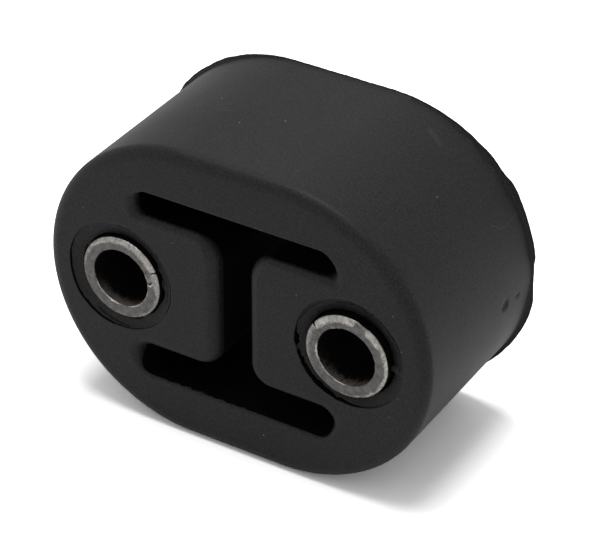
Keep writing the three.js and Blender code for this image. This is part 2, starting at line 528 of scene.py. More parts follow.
@dataclass(frozen=True)
class MouldedRubber:
    """Carbon-black EPDM rubber, compression moulded.

    Near-black and matt to half gloss, so the eye reads it by its soft reflections: pale where it is
    seen at a flat angle, darker where it faces the eye, with a faint grain and dust.
    """

    name: str = "epdm_rubber_moulded"
    colour: str = "#050506"
    grain_colour: str = "#252527"
    bloom_colour: str = "#1a1a1b"
    dust_colour: str = "#9a9a97"
    ior: float = 1.5
    specular: float = 0.2
    roughness: float = 0.52
    roughness_spread: float = 0.03
    # Finer on the real rubber, drawn at one to two pixels so that it shows
    grain: Mottle = Mottle(0.28, Spread.CRISP)
    grain_depth_mm: float = 0.02
    bloom: Mottle = Mottle(9.0, Spread.FAINT)
    bloom_share: float = 0.25
    # Slow waves of the moulded skin, and their height as a multiple of the grain's
    flow: Mottle = Mottle(14.0, Spread.WHOLE)
    flow_height: float = 2.0
    bump_strength: float = 0.6
    speck_cell_mm: float = 5.0
    speck_mm: float = 0.1
    speck_share: float = 0.3
    streaks: tuple[Streak, ...] = ()

    def make(self) -> bpy.types.Material:
        """Builds the material.

        Returns:
            The material.
        """
        material, tree, shader = new_material(self.name)
        place = add_node(tree, "ShaderNodeTexCoord").outputs["Object"]
        grain, bloom, flow = (pattern.on(tree, place) for pattern in (self.grain, self.bloom, self.flow))
        faint = {0: bloom, 1: self.bloom_share}
        cloud = add_node(tree, "ShaderNodeMath", faint, operation="MULTIPLY").outputs[0]
        dust = self.dust(tree, place)
        tone = linear_colour(self.colour)
        layers = ((grain, self.grain_colour), (cloud, self.bloom_colour), (dust, self.dust_colour))
        for share, colour in layers:
            mixed = {0: share, MIX_A: tone, MIX_B: linear_colour(colour)}
            tone = add_node(tree, "ShaderNodeMix", mixed, data_type="RGBA").outputs[MIX_RESULT]
        for streak in self.streaks:
            tone = streak.on(tree, place, tone)
        tree.links.new(tone, shader.inputs["Base Color"])
        low = self.roughness - self.roughness_spread / 2
        ends = {"Value": bloom, "To Min": low, "To Max": low + self.roughness_spread}
        rough = add_node(tree, "ShaderNodeMapRange", ends).outputs["Result"]
        tree.links.new(rough, shader.inputs["Roughness"])
        shader.inputs["IOR"].default_value = self.ior
        shader.inputs["Specular IOR Level"].default_value = self.specular
        waves = {0: flow, 1: self.flow_height, 2: grain}
        height = add_node(tree, "ShaderNodeMath", waves, operation="MULTIPLY_ADD").outputs[0]
        bump = {"Height": height, "Strength": self.bump_strength, "Distance": self.grain_depth_mm * MM}
        normal = add_node(tree, "ShaderNodeBump", bump).outputs["Normal"]
        tree.links.new(normal, shader.inputs["Normal"])
        return material

    def dust(self, tree: bpy.types.NodeTree, place: bpy.types.NodeSocket) -> bpy.types.NodeSocket:
        """Adds sparse dust: a dot in a few cells of a cell pattern.

        Args:
            tree: Node tree of the material.
            place: Position on the object.

        Returns:
            One on a speck and zero elsewhere.
        """
        scale = 1 / (self.speck_cell_mm * MM)
        cells = add_node(tree, "ShaderNodeTexVoronoi", {"Vector": place, "Scale": scale})
        dot = {0: cells.outputs["Distance"], 1: self.speck_mm / self.speck_cell_mm}
        near = add_node(tree, "ShaderNodeMath", dot, operation="LESS_THAN").outputs[0]
        split = add_node(tree, "ShaderNodeSeparateColor", {0: cells.outputs["Color"]})
        some = {0: split.outputs[0], 1: self.speck_share}
        chosen = add_node(tree, "ShaderNodeMath", some, operation="LESS_THAN").outputs[0]
        return add_node(tree, "ShaderNodeMath", {0: near, 1: chosen}, operation="MULTIPLY").outputs[0]


# Walls of the slot, the seats and the tears: the same rubber made near-black and matt as painted shade,
# where little light reaches.
SHADE_PAINTED_RUBBER = MouldedRubber(
    name="epdm_rubber_painted_shade",
    colour="#020202",
    grain_colour="#070606",
    bloom_colour="#050505",
    dust_colour="#111111",
    specular=0.04,
    roughness=0.9,
    grain_depth_mm=0.03,
)

# Floor of the dished rings: the same rubber a little darker than the face, with less gloss, a little rougher
# and with a darker, coarser grain.
SEAT_RUBBER = MouldedRubber(
    name="epdm_rubber_seat",
    colour="#050505",
    grain_colour="#212022",
    specular=0.17,
    roughness=0.53,
    grain=Mottle(0.4, Spread.CRISP),
    grain_depth_mm=0.03,
)


@dataclass(frozen=True)
class SteelFinish:
    """Plain carbon steel in one of the states that the sleeve shows, dull or worn bright."""

    name: str
    colour: str
    stain: str
    # Colour where the wear attribute is full: bare worn metal on the end face, painted light on the bore
    worn: str
    fleck: str
    roughness: float
    worn_roughness: float
    metallic: float
    grain_mm: float
    grain_depth_mm: float
    specular: float = 0.5
    speckle: float = 0.0
    # Sizes of the stains, the specks and the flecks as multiples of the grain's
    stain_scale: float = 6.0
    speck_scale: float = 1.7
    fleck_scale: float = 4.0
    # How far the grain frays the border of the wear and of the painted light, and the levels between which
    # they show
    fray: float = 0.3
    wear_levels: tuple[float, float] = (0.25, 1.1)
    bump_strength: float = 0.7
    streaks: tuple[Streak, ...] = ()

    def make(self) -> bpy.types.Material:
        """Builds the material.

        Returns:
            The material.
        """
        material, tree, shader = new_material(self.name)
        place = add_node(tree, "ShaderNodeTexCoord").outputs["Object"]
        fine = Mottle(self.grain_mm, Spread.CRISP).on(tree, place)
        cloud = Mottle(self.grain_mm * self.stain_scale, Spread.CLOUDY).on(tree, place)
        speck = Mottle(self.grain_mm * self.speck_scale, Spread.SPARSE).on(tree, place)
        flecks = Mottle(self.grain_mm * self.fleck_scale, Spread.BROAD).on(tree, place)
        few = {0: speck, 1: self.speckle}
        sparse = add_node(tree, "ShaderNodeMath", few, operation="MULTIPLY").outputs[0]
        # The wear attribute is real wear on the end face, plus a painted highlight along its inner edge, and
        # painted light on the bore
        wear = add_node(tree, "ShaderNodeAttribute", attribute_name=WEAR_AND_PAINTED_LIGHT).outputs["Fac"]
        border = {0: fine, 1: self.fray, 2: wear}
        frayed = add_node(tree, "ShaderNodeMath", border, operation="MULTIPLY_ADD").outputs[0]
        low, high = self.wear_levels
        shown = {"Value": frayed, "From Min": low, "From Max": high}
        bare = add_node(tree, "ShaderNodeMapRange", shown).outputs["Result"]
        mottled = {0: flecks, MIX_A: linear_colour(self.worn), MIX_B: linear_colour(self.fleck)}
        metal = add_node(tree, "ShaderNodeMix", mottled, data_type="RGBA").outputs[MIX_RESULT]
        tone = linear_colour(self.colour)
        layers = ((cloud, linear_colour(self.stain)), (sparse, linear_colour(self.worn)), (bare, metal))
        for share, over in layers:
            mixed = {0: share, MIX_A: tone, MIX_B: over}
            tone = add_node(tree, "ShaderNodeMix", mixed, data_type="RGBA").outputs[MIX_RESULT]
        for streak in self.streaks:
            tone = streak.on(tree, place, tone)
        tree.links.new(tone, shader.inputs["Base Color"])
        gloss = {"Value": bare, "To Min": self.roughness, "To Max": self.worn_roughness}
        rough = add_node(tree, "ShaderNodeMapRange", gloss).outputs["Result"]
        tree.links.new(rough, shader.inputs["Roughness"])
        shader.inputs["Metallic"].default_value = self.metallic
        shader.inputs["Specular IOR Level"].default_value = self.specular
        bump = {"Height": fine, "Strength": self.bump_strength, "Distance": self.grain_depth_mm * MM}
        normal = add_node(tree, "ShaderNodeBump", bump).outputs["Normal"]
        tree.links.new(normal, shader.inputs["Normal"])
        return material


# The rubber block


@dataclass(frozen=True)
class RingLine:
    """A fine crack or ripple that follows the dished ring over some of its angles."""

    radius: float
    start: float
    end: float
    width: float
    depth: float
    run_out: float = 9.0

    def at(self, radius: np.ndarray, degrees: np.ndarray) -> np.ndarray:
        """Gives how deep the line is at points of the ring.

        Args:
            radius: Distances from the middle of the ring in mm.
            degrees: Angles round the ring.

        Returns:
            Depths in mm.
        """
        span = (self.end - self.start) % FULL_TURN
        run = (degrees - self.start) % FULL_TURN
        held = smooth_step(0.0, self.run_out, run) * smooth_step(span, span - self.run_out, run)
        return self.depth * held * np.exp(-(((radius - self.radius) / self.width) ** 2))


@dataclass(frozen=True)
class LumpyPatch:
    """A patch of a dished ring where the rubber tore and stayed lumpy."""

    x: float
    z: float
    reach: float
    height: float

    def at(self, x: np.ndarray, z: np.ndarray, seed: int) -> np.ndarray:
        """Gives how high the lumps stand at points of the ring."""
        near = np.exp(-(((x - self.x) ** 2 + (z - self.z) ** 2) / self.reach**2))
        return self.height * near * RandomWaves(seed=seed, shortest=0.5, longest=1.2).at(x, z)


@dataclass(frozen=True)
class SeatRing:
    """What one dished ring has of its own: its rim, its cracks and its torn edges."""

    centre_x: float
    rim_shift: tuple[float, float]
    rim_radius: float
    rim_bulge: StopTable
    crack_width: StopTable
    inner_gap: StopTable
    floor_depth: StopTable
    lumps: LumpyPatch
    lines: tuple[RingLine, ...]
    seed: int


@dataclass(frozen=True)
class RingSection:
    """The section that all dished rings share, in mm."""

    # Depth at the rim, and how much of the way there is curved
    collar: float = 0.2
    hollow: float = 0.2
    ripple: float = 0.012
    # Wander of the rim, where the crack is wide enough to show it
    rim_wander: float = 0.03
    wandering_widths: tuple[float, float] = (0.08, 0.3)
    tear_share: float = 0.12
    least_crack: float = 0.03
    widest_tear: float = 0.9
    # Depth of a crack as a multiple of its width, its limit, and the width from which it is painted shade
    crack_steepness: float = 2.4
    deepest_crack: float = 1.1
    dark_crack: float = 0.13
    gap_edge: float = 0.06
    gap_edge_drop: float = 0.1
    rim_drop: float = 0.03
    rim_edge: float = 0.04
    land: float = 0.3
    # Gap beside the sleeve, from the seat outwards: share of its width, and depth below the floor
    gap: tuple[tuple[float, float], ...] = ((0.0, 5.0), (0.0, 2.4), (0.6, 2.0), (1.0, 1.2), (1.0, 0.35))
    # Crack at the rim: share of its width, and share of its depth
    crack: tuple[tuple[float, float], ...] = ((0.12, 0.7), (0.3, 1.0), (0.6, 1.05), (0.85, 0.9), (0.96, 0.5))
    # Rear ring: distance out from the seat, and depth in from the rear face
    rear_seat: tuple[tuple[float, float], ...] = ((0.0, 3.0), (0.15, 1.6), (0.2, 1.25), (0.3, 1.2))
    rear_floor: tuple[tuple[float, float], tuple[float, float]] = ((0.3, 1.2), (2.3, 0.35))
    rear_rim: tuple[tuple[float, float], ...] = ((2.45, 0.05), (2.5, 0.0))
    front_steps: int = 25
    rear_steps: int = 6


@dataclass(frozen=True)
class Pit:
    """A shallow moulding pit in the right end of the wall, with a low mound in its middle."""

    depth: float
    height: float
    half_depth: float
    half_height: float
    sink: float
    mound: float = 0.45
    mound_reach: float = 0.45
    rim: tuple[float, float] = (1.15, 0.75)

    def at(self, depth: np.ndarray, height: np.ndarray) -> np.ndarray:
        """Gives how deep the pit is at points of the wall.

        Args:
            depth: Depths of the points behind the front face in mm.
            height: Heights of the points from the block's middle in mm.

        Returns:
            How far the wall sinks there, in mm.
        """
        across = (depth - self.depth) / self.half_depth
        reach = np.hypot(across, (height - self.height) / self.half_height)
        floor = 1 - self.mound * np.exp(-((reach / self.mound_reach) ** 2))
        return self.sink * floor * smooth_step(*self.rim, reach)


@dataclass(frozen=True)
class FlashLip:
    """The thin lip of flash round the rear edge, in mm: knife-trimmed in facets, none below."""

    trim: StopTable
    fray: float = 0.02
    least: float = 0.1
    most: float = 1.3
    # Heights above the lower flat side between which the lip comes in
    rise: tuple[float, float] = (0.05, 3.0)
    # Length of the flare as a multiple of the reach, its least length, and how it curves out
    flare: float = 0.5
    least_flare: float = 0.22
    curve: float = 1.5
    tip: float = 0.96
    steps: tuple[float, ...] = (0.0, 0.25, 0.45, 0.62, 0.78, 0.9, 0.98)

    def reach(self, degrees: np.ndarray, x: np.ndarray, z: np.ndarray, above: np.ndarray) -> np.ndarray:
        """Gives how far the lip stands out.

        Args:
            degrees: Angle of the points round their end of the block.
            x: Their place along the block.
            z: Their height from its middle.
            above: Their height above the lower flat side.

        Returns:
            The reach at each point.
        """
        fray = RandomWaves(seed=12, shortest=0.8, longest=3.0).at(x, z)
        trimmed = np.clip(self.trim.at(degrees) + self.fray * fray, self.least, self.most)
        return trimmed * smooth_step(*self.rise, above)

    def rows(self, reach: np.ndarray, depth: float) -> Rows:
        """Gives the rows of the flare from the wall to the rear face.

        Args:
            reach: How far the lip stands out at each point.
            depth: Depth of the rear face.

        Returns:
            Depth and distance out from the outline for each row.
        """
        flare = np.maximum(self.least_flare, self.flare * reach)
        rows = [(depth - flare * (1 - t), reach * t**self.curve) for t in self.steps]
        return [*rows, (np.full(len(reach), depth), self.tip * reach)]


@dataclass(frozen=True)
class SlotRim:
    """The front rim of the slot: well rounded at the middle block and almost sharp outside, in mm.

    How far a point lies from the middle line of a level slot is told as a share of the slot's height:
    -0.5 on the side of the middle block and 0.5 on the outer side.
    """

    inner: float = 2.1
    outer: float = 0.45
    outer_side: tuple[float, float] = (-0.2, 0.4)
    # Left end of the upper slot
    left_end: float = 1.6
    left_end_across: tuple[float, float] = (-15.0, -17.0)
    left_end_side: tuple[float, float] = (0.45, 0.1)
    # Top edges of the middle block, where a film of flash stands into the upper slot
    shelf: float = 1.0
    shelf_across: tuple[float, float] = (3.0, 7.0)
    shelf_side: tuple[float, float] = (-0.3, -0.5)
    film: float = 0.75
    film_fray: float = 0.06
    film_root: float = 1.0
    film_hold: float = 0.9
    # Torn stretch of the lower slot's outer edge
    torn_side: tuple[float, float] = (0.3, 0.5)
    torn_from: tuple[float, float] = (-15.0, -12.0)
    torn_to: tuple[float, float] = (6.0, 1.0)
    tear_share: float = 0.35
    # Angle of the round up to which the rubber keeps its moulded finish; past it the slot wall is painted
    # shade
    lit_angle: float = 82.0
    steps: int = 12

    def at(self, x: np.ndarray, z: np.ndarray, away: np.ndarray) -> tuple[np.ndarray, np.ndarray]:
        """Gives the radius of the rim and the reach of the film.

        Args:
            x: Place of the points along the block.
            z: Their height from its middle.
            away: How far they lie from the middle line of their level slot.

        Returns:
            Radius and reach at each point.
        """
        upper = z > 0
        radius = self.inner + (self.outer - self.inner) * smooth_step(*self.outer_side, away)
        end = upper * smooth_step(*self.left_end_across, x) * smooth_step(*self.left_end_side, away)
        radius += (self.left_end - radius) * end
        shelf = upper * smooth_step(*self.shelf_side, away) * smooth_step(*self.shelf_across, np.abs(x))
        radius += (self.shelf - radius) * shelf
        torn = smooth_step(*self.torn_side, away) * (z < 0)
        torn *= smooth_step(*self.torn_from, x) * smooth_step(*self.torn_to, x)
        radius *= 1 + self.tear_share * torn * RandomWaves(seed=17, shortest=0.7, longest=2.5).at(x, z)
        fray = RandomWaves(seed=18, shortest=0.6, longest=1.4).at(x, z)
        return radius, self.film * shelf * (1 + self.film_fray * fray)


@dataclass
class RubberBlock:
    """The moulded block with its I-shaped slot, sleeve seats and rear flash lip, in mm."""

    lip: FlashLip
    rings: list[SeatRing]
    pits: tuple[Pit, ...]
    section: RingSection = RingSection()
    slot_rim: SlotRim = SlotRim()
    length: float = 70.0
    height: float = 53.0
    depth: float = 34.0
    front_edge: float = 2.2
    front_edge_depth: float = 1.7
    front_edge_rows: int = 13
    slot_half_length: float = 18.0
    slot_height: float = 5.4
    slot_end_radius: float = 2.4
    slot_spacing: float = 29.4
    slot_wall_rows: int = 12
    upright_width: float = 5.6
    corner_radius: float = 4.0
    sleeve_radius: float = 7.275
    wall_play: float = 0.03
    ring_columns: int = 360
    # Strip of flat face that each edge brings with it, beside the plate
    guard: float = 0.25
    outline_step: float = 0.45
    wall_step: float = 0.6
    pit_step: float = 0.28
    sharp_angle: float = 38.0

    @property
    def front_y(self) -> float:
        """Place of the front face along Y."""
        return -self.depth / 2

    def block_outline(self) -> Outline:
        """Gives the outline of the block.

        Returns:
            The outline, from the lower right, anticlockwise.
        """
        radius = self.height / 2
        centre = self.length / 2 - radius
        arcs = [(centre, 0.0, radius, -90.0, 90.0), (-centre, 0.0, radius, 90.0, 270.0)]
        return Outline.from_pieces(arcs, self.outline_step)

    def slot_outline(self) -> Outline:
        """Gives the outline of the I-shaped slot.

        Returns:
            The outline, with its straight lines between round corners.
        """
        inner = (self.slot_spacing - self.slot_height) / 2
        outer = inner + self.slot_height
        end_x = self.slot_half_length - self.slot_end_radius
        corner_x = self.upright_width / 2 + self.corner_radius
        corner_z = inner - self.corner_radius
        low, high = inner + self.slot_end_radius, outer - self.slot_end_radius
        end, corner = self.slot_end_radius, self.corner_radius
        arcs = [
            (corner_x, corner_z, corner, 180.0, 90.0),
            (end_x, low, end, -90.0, 0.0),
            (end_x, high, end, 0.0, 90.0),
            (-end_x, high, end, 90.0, 180.0),
            (-end_x, low, end, 180.0, 270.0),
            (-corner_x, corner_z, corner, 90.0, 0.0),
            (-corner_x, -corner_z, corner, 0.0, -90.0),
            (-end_x, -low, end, 90.0, 180.0),
            (-end_x, -high, end, 180.0, 270.0),
            (end_x, -high, end, -90.0, 0.0),
            (end_x, -low, end, 0.0, 90.0),
            (corner_x, -corner_z, corner, -90.0, -180.0),
        ]
        return Outline.from_pieces(arcs, self.outline_step)

    def lip_reach(self, outline: Outline) -> np.ndarray:
        """Gives the reach of the flash lip.

        Args:
            outline: Outline of the block.

        Returns:
            Reach in mm at each point of the outline.
        """
        x, z = outline.points[:, 0], outline.points[:, 1]
        centre = self.length / 2 - self.height / 2
        past_end = np.sign(x) * np.maximum(np.abs(x) - centre, 0.0)
        degrees = np.degrees(np.arctan2(z, past_end))
        return self.lip.reach(degrees, x, z, z + self.height / 2)

    def wall_depths(self) -> np.ndarray:
        """Gives the rows of the wall, close together where the pits are.

        Returns:
            Depths behind the front face in mm.
        """
        first = min(pit.depth - 2 * pit.half_depth for pit in self.pits)
        last = max(pit.depth + 2 * pit.half_depth for pit in self.pits)
        before = np.arange(self.front_edge_depth + self.wall_step, first, self.wall_step)
        among = np.arange(first, last, self.pit_step)
        after = np.arange(last, self.depth - 2 * self.wall_step, self.wall_step)
        return np.concatenate([before, among, after])

    def add_outside(self, maker: MeshMaker) -> tuple[np.ndarray, np.ndarray]:
        """Adds the outer wall, from the edge of the front plate round the edge to the rear lip.

        Args:
            maker: The mesh so far.

        Returns:
            The edge of the front plate and of the rear plate.
        """
        outline = self.block_outline()
        flat = np.ones(len(outline.points))
        rows: Rows = [(0.0 * flat, -(self.front_edge + self.guard) * flat)]
        for angle in np.radians(np.linspace(0, 90, self.front_edge_rows)):
            inset = self.front_edge * (1 - math.sin(angle))
            rows.append((self.front_edge_depth * (1 - math.cos(angle)) * flat, -inset * flat))
        rows += [(depth * flat, 0.0 * flat) for depth in self.wall_depths()]
        rows += self.lip.rows(self.lip_reach(outline), self.depth)
        x, depth, z = outline.swept(rows)
        sink = sum(pit.at(depth, z) for pit in self.pits) * (x > self.length / 4)
        x = x - sink * outline.normals[:, 0]
        z = z - sink * outline.normals[:, 1]
        z = np.where(depth > self.front_edge_depth, np.maximum(z, -self.height / 2), z)
        maker.grid(x, depth, z)
        return row_points(x, z, 0), row_points(x, z, -1)

    def add_slot(self, maker: MeshMaker) -> tuple[np.ndarray, np.ndarray]:
        """Adds the slot's wall, from its rim and film at the front to the sharp edge at the rear.

        Args:
            maker: The mesh so far.

        Returns:
            The edge of the slot in the front plate and in the rear plate.
        """
        outline = self.slot_outline()
        x, z = outline.points[:, 0], outline.points[:, 1]
        away = (np.abs(z) - self.slot_spacing / 2) / self.slot_height
        rim, film = self.slot_rim.at(x, z, away)
        rows: Rows = [(0.0 * rim, rim - film + self.guard)]
        angles = np.linspace(0, 90, self.slot_rim.steps)
        for angle in np.radians(angles):
            rows.append((rim * (1 - math.cos(angle)), rim * (1 - math.sin(angle)) - film))
        root = rim + self.slot_rim.film_root
        rows.append((rim + self.slot_rim.film_root / 2, -self.slot_rim.film_hold * film))
        for t in np.linspace(0, 1, self.slot_wall_rows):
            rows.append((root + (self.depth - root) * t, 0.0 * rim))
        x, depth, z = outline.swept(rows)
        # Past the lit angle the slot wall takes the rubber painted as shade
        skins = np.full((len(rows) - 1, 1), int(Skin.INNER))
        skins[: 1 + int(np.sum(angles <= self.slot_rim.lit_angle))] = Skin.MAIN
        maker.grid(x, depth, z, skin=skins)
        return row_points(x, z, 0), row_points(x, z, -1)

    def ring_angles(self) -> np.ndarray:
        """Angles in degrees of the columns of a ring."""
        return np.linspace(0, FULL_TURN, self.ring_columns, endpoint=False)

    def dish(self, ring: SeatRing, radius: np.ndarray, rim: np.ndarray) -> np.ndarray:
        """Depth of the dished floor of a ring.

        Args:
            ring: The ring's shape.
            radius: Distance of the points from the sleeve's axis, one for each column.
            rim: Radius of the ring's rim, without its wander.

        Returns:
            The depth, one for each column.
        """
        degrees = self.ring_angles()
        cos, sin = direction(degrees)
        x, z = ring.centre_x + radius * cos, radius * sin
        share = np.clip((radius - self.sleeve_radius) / (rim - self.sleeve_radius), 0.0, 1.0)
        floor, hollow = ring.floor_depth.at(degrees), self.section.hollow
        depth = floor + (self.section.collar - floor) * ((1 - hollow) * share + hollow * share**2)
        ripples = RandomWaves(seed=ring.seed + 2, shortest=1.2, longest=4.0).at(x, z)
        depth = depth + self.section.ripple * ripples - ring.lumps.at(x, z, ring.seed + 3)
        return depth + sum(line.at(radius, degrees) for line in ring.lines)

    def add_ring_rows(self, maker: MeshMaker, ring: SeatRing, rows: Rows, skins: np.ndarray) -> np.ndarray:
        """Adds rows round the axis of a sleeve.

        Args:
            maker: The mesh so far.
            ring: The ring that they belong to.
            rows: Radius and depth of each row.
            skins: Finish of each gap between two rows.

        Returns:
            The last row, which is the edge of the ring in its plate.
        """
        cos, sin = direction(self.ring_angles())
        radius = np.array([r for r, _ in rows])
        depth = np.array([d for _, d in rows])
        x, z = ring.centre_x + radius * cos, radius * sin
        maker.grid(x, depth, z, skin=skins)
        return row_points(x, z, -1)

    def add_front_ring(self, maker: MeshMaker, ring: SeatRing) -> np.ndarray:
        """Adds the dished ring of one sleeve at the front, from down in the seat outwards.

        Args:
            maker: The mesh so far.
            ring: The ring's shape.

        Returns:
            The edge of the ring in the front plate.
        """
        degrees, shape = self.ring_angles(), self.section
        cos, sin = direction(degrees)
        at_rim = (ring.rim_radius * cos, ring.rim_radius * sin)
        wander = RandomWaves(seed=ring.seed, shortest=0.7, longest=2.6).at(*at_rim)
        torn = 1 + shape.tear_share * RandomWaves(seed=ring.seed + 1, shortest=0.8, longest=2.5).at(*at_rim)
        even_rim = ring.rim_radius + ring.rim_shift[0] * cos + ring.rim_shift[1] * sin
        even_rim = even_rim + ring.rim_bulge.at(degrees)
        wide = ring.crack_width.at(degrees)
        rim = even_rim + shape.rim_wander * wander * smooth_step(*shape.wandering_widths, wide)
        width = np.clip(wide * torn, shape.least_crack, shape.widest_tear)
        crack = np.clip(shape.crack_steepness * width, 0.0, shape.deepest_crack)
        gap = np.clip(ring.inner_gap.at(degrees) * torn, 0.0, shape.widest_tear)
        floor = ring.floor_depth.at(degrees)
        seat = np.full(self.ring_columns, self.sleeve_radius + self.wall_play)
        start, end = seat + gap + shape.gap_edge, rim - width
        inside_rows = [(seat + gap * share, floor + drop) for share, drop in shape.gap]
        inside_rows.append((seat + gap + shape.gap_edge / 4, floor + shape.gap_edge_drop))
        inside_rows.append((start, self.dish(ring, start, even_rim)))
        dish_rows = []
        for t in np.linspace(0, 1, shape.front_steps + 1)[1:]:
            radius = start + (end - start) * t
            dish_rows.append((radius, self.dish(ring, radius, even_rim)))
        crack_rows = [(end + width * u, shape.collar * (1 - u) + crack * share) for u, share in shape.crack]
        land_rows = [
            (rim, np.full(self.ring_columns, shape.rim_drop)),
            (rim + shape.rim_edge, 0.0 * rim),
            (rim + shape.land, 0.0 * rim),
        ]
        rows = inside_rows + dish_rows + crack_rows + land_rows
        skins = np.full((len(rows) - 1, self.ring_columns), int(Skin.MAIN))
        first = len(inside_rows) - 1
        last = first + len(dish_rows)
        # The gap beside the sleeve and the wide cracks take the rubber painted as shade
        skins[:first] = Skin.INNER
        skins[first:last] = Skin.DISH
        skins[last : last + len(crack_rows) + 1, width > shape.dark_crack] = Skin.INNER
        return self.add_ring_rows(maker, ring, rows, skins)

    def add_rear_ring(self, maker: MeshMaker, ring: SeatRing) -> np.ndarray:
        """Adds the plain dished ring of one sleeve at the rear, and the seat up to the front ring.

        Args:
            maker: The mesh so far.
            ring: The front ring whose seat this one joins.

        Returns:
            The edge of the ring in the rear plate.
        """
        flat, shape = np.ones(self.ring_columns), self.section
        seat = self.sleeve_radius + self.wall_play
        (first_out, first_in), (last_out, last_in) = shape.rear_floor
        places = list(shape.rear_seat)
        for t in np.linspace(0, 1, shape.rear_steps + 1)[1:]:
            places.append((first_out + (last_out - first_out) * t, first_in + (last_in - first_in) * t))
        places += shape.rear_rim
        rows = [(seat * flat, ring.floor_depth.at(self.ring_angles()) + shape.gap[0][1])]
        rows += [((seat + out) * flat, (self.depth - depth) * flat) for out, depth in places]
        skins = np.full((len(rows) - 1, 1), int(Skin.MAIN))
        # The rear seat takes the rubber painted as shade
        skins[: len(shape.rear_seat)] = Skin.INNER
        return self.add_ring_rows(maker, ring, rows, skins)

    def build(self, finishes: list[bpy.types.Material]) -> bpy.types.Object:
        """Builds the block and sets it in place of its solid.

        Args:
            finishes: The moulded rubber, the rubber painted as shade, and the ring rubber, in the order of
                Skin.

        Returns:
            The block.
        """
        maker = MeshMaker(self.front_y, self.height / 2)
        front_edge, rear_edge = self.add_outside(maker)
        front_slot, rear_slot = self.add_slot(maker)
        front_rings = [self.add_front_ring(maker, ring) for ring in self.rings]
        rear_rings = [self.add_rear_ring(maker, ring) for ring in self.rings]
        maker.plate(front_edge, [front_slot, *front_rings], 0.0)
        maker.plate(rear_edge, [rear_slot, *rear_rings], self.depth)
        block = maker.finish("rubber_block", finishes, self.sharp_angle)
        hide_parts("rubber_body")
        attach(block, ROOT_BODY)
        return block


# The sleeves


class Side(Enum):
    """Which sleeve of the pair, with the solid that it stands for."""

    LEFT = "left_sleeve"
    RIGHT = "right_sleeve"


@dataclass(frozen=True)
class SleeveEnd:
    """How one sleeve's end face came out: its seam, its broken edge, where it is worn bright, and where a
    highlight is painted along its inner edge.
    """

    seam: float
    seam_path: StopTable
    seam_gap: float
    seam_mouth: float
    edge_share: StopTable
    rim_width: StopTable
    rim_light: StopTable
    painted_inner_highlight: StopTable
    seed: int


@dataclass(frozen=True)
class EndWear:
    """How the bright wear and the painted inner highlight of an end face fade and fray, and how far painted
    light reaches into the bore, in mm.
    """

    wander: float = 0.08
    fray: float = 0.05
    softest: float = 0.24
    soft_share: float = 0.4
    mottle: float = 0.15
    fine_mottle: float = 0.1
    inner_fray: float = 0.03
    inner_softness: float = 0.05
    # Reach of the painted inner highlight from which it is there in full
    inner_reach: tuple[float, float] = (0.02, 0.1)
    # Depth to which painted light reaches into the bore, and how far noise moves that border
    bore_depth: tuple[float, float] = (2.8, 0.2)
    bore_fray: float = 0.3


